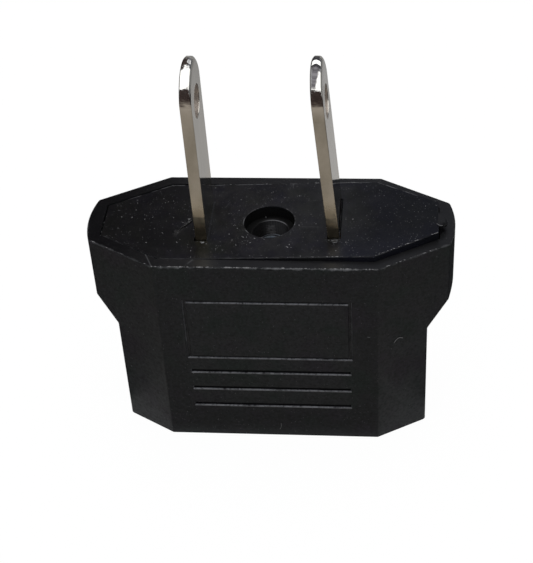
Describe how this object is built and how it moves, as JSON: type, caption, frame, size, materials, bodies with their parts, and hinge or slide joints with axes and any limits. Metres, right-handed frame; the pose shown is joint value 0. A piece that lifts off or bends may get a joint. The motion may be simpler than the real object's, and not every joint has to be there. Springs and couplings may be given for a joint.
{
  "type": "travel adapter",
  "caption": "Black moulded travel plug adapter with round-pin holes below, plated flat blades above, flared shoulder ends, sunk grip lines and a screwed cover plate.",
  "frame": {"origin": "centre of the socket face, which is the bottom of the adapter as it stands", "axes": "+Z along the blades, X along the long side, the framed panel faces -Y"},
  "size_m": [0.0356, 0.0142, 0.0405],
  "materials": {
    "housing_plastic": "satin moulded, scuffed edges",
    "cover_plastic": "smooth satin, dusty",
    "screw_steel": "bright zinc",
    "blade_nickel": "nickel plated",
    "contact_bronze": "bare sheet",
    "rivet_brass": "bare"
  },
  "bodies": {
    "root": {"housing": "housing_plastic", "cover_plate": "cover_plastic", "cover_screw": "screw_steel", "left_blade": "blade_nickel", "right_blade": "blade_nickel", "left_contact": "contact_bronze", "right_contact": "contact_bronze", "contact_rivets": "rivet_brass"}
  },
  "joints": []
}
